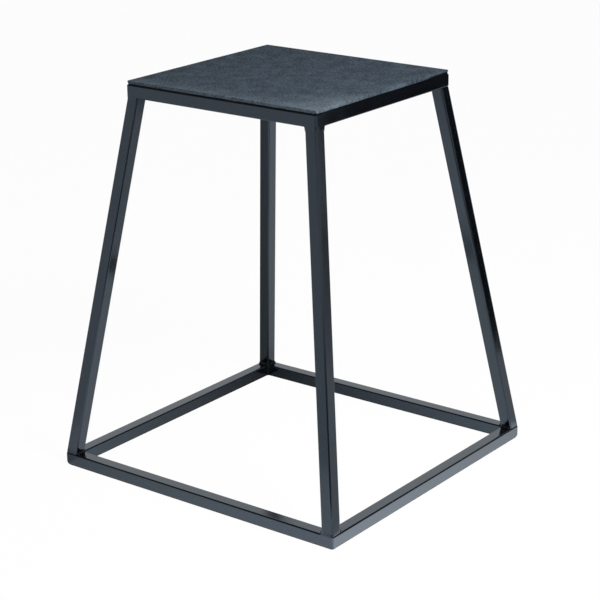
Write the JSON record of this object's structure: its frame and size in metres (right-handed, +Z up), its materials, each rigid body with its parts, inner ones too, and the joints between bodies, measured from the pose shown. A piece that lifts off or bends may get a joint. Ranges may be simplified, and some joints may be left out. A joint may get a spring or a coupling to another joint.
{
  "type": "plyo box",
  "caption": "Jump box of welded square steel tube: leaning legs join a wide base frame to a smaller top frame that carries a steel deck plate with a rubber mat.",
  "frame": {"origin": "on the floor under the middle of the box", "axes": "+Z up, X along the longer sides, front towards -Y"},
  "size_m": [0.654, 0.632, 0.762],
  "materials": {
    "frame_paint": "semi-gloss graphite black paint",
    "weld_paint": "semi-gloss paint over weld beads",
    "deck_paint": "satin paint on flat plate",
    "mat_rubber": "matt grained rubber"
  },
  "bodies": {
    "root": {"base_rail_front": "frame_paint", "base_rail_right": "frame_paint", "base_rail_back": "frame_paint", "base_rail_left": "frame_paint", "top_rail_front": "frame_paint", "top_rail_right": "frame_paint", "top_rail_back": "frame_paint", "top_rail_left": "frame_paint", "leg_front_left": "frame_paint", "leg_front_right": "frame_paint", "leg_back_left": "frame_paint", "leg_back_right": "frame_paint", "foot_welds_front_left": "weld_paint", "foot_welds_front_right": "weld_paint", "foot_welds_back_left": "weld_paint", "foot_welds_back_right": "weld_paint", "head_welds_front_left": "weld_paint", "head_welds_front_right": "weld_paint", "head_welds_back_left": "weld_paint", "head_welds_back_right": "weld_paint", "base_corner_welds": "weld_paint", "top_corner_welds": "weld_paint", "deck_stitch_welds": "weld_paint", "deck_plate": "deck_paint", "rubber_mat": "mat_rubber"}
  },
  "joints": []
}
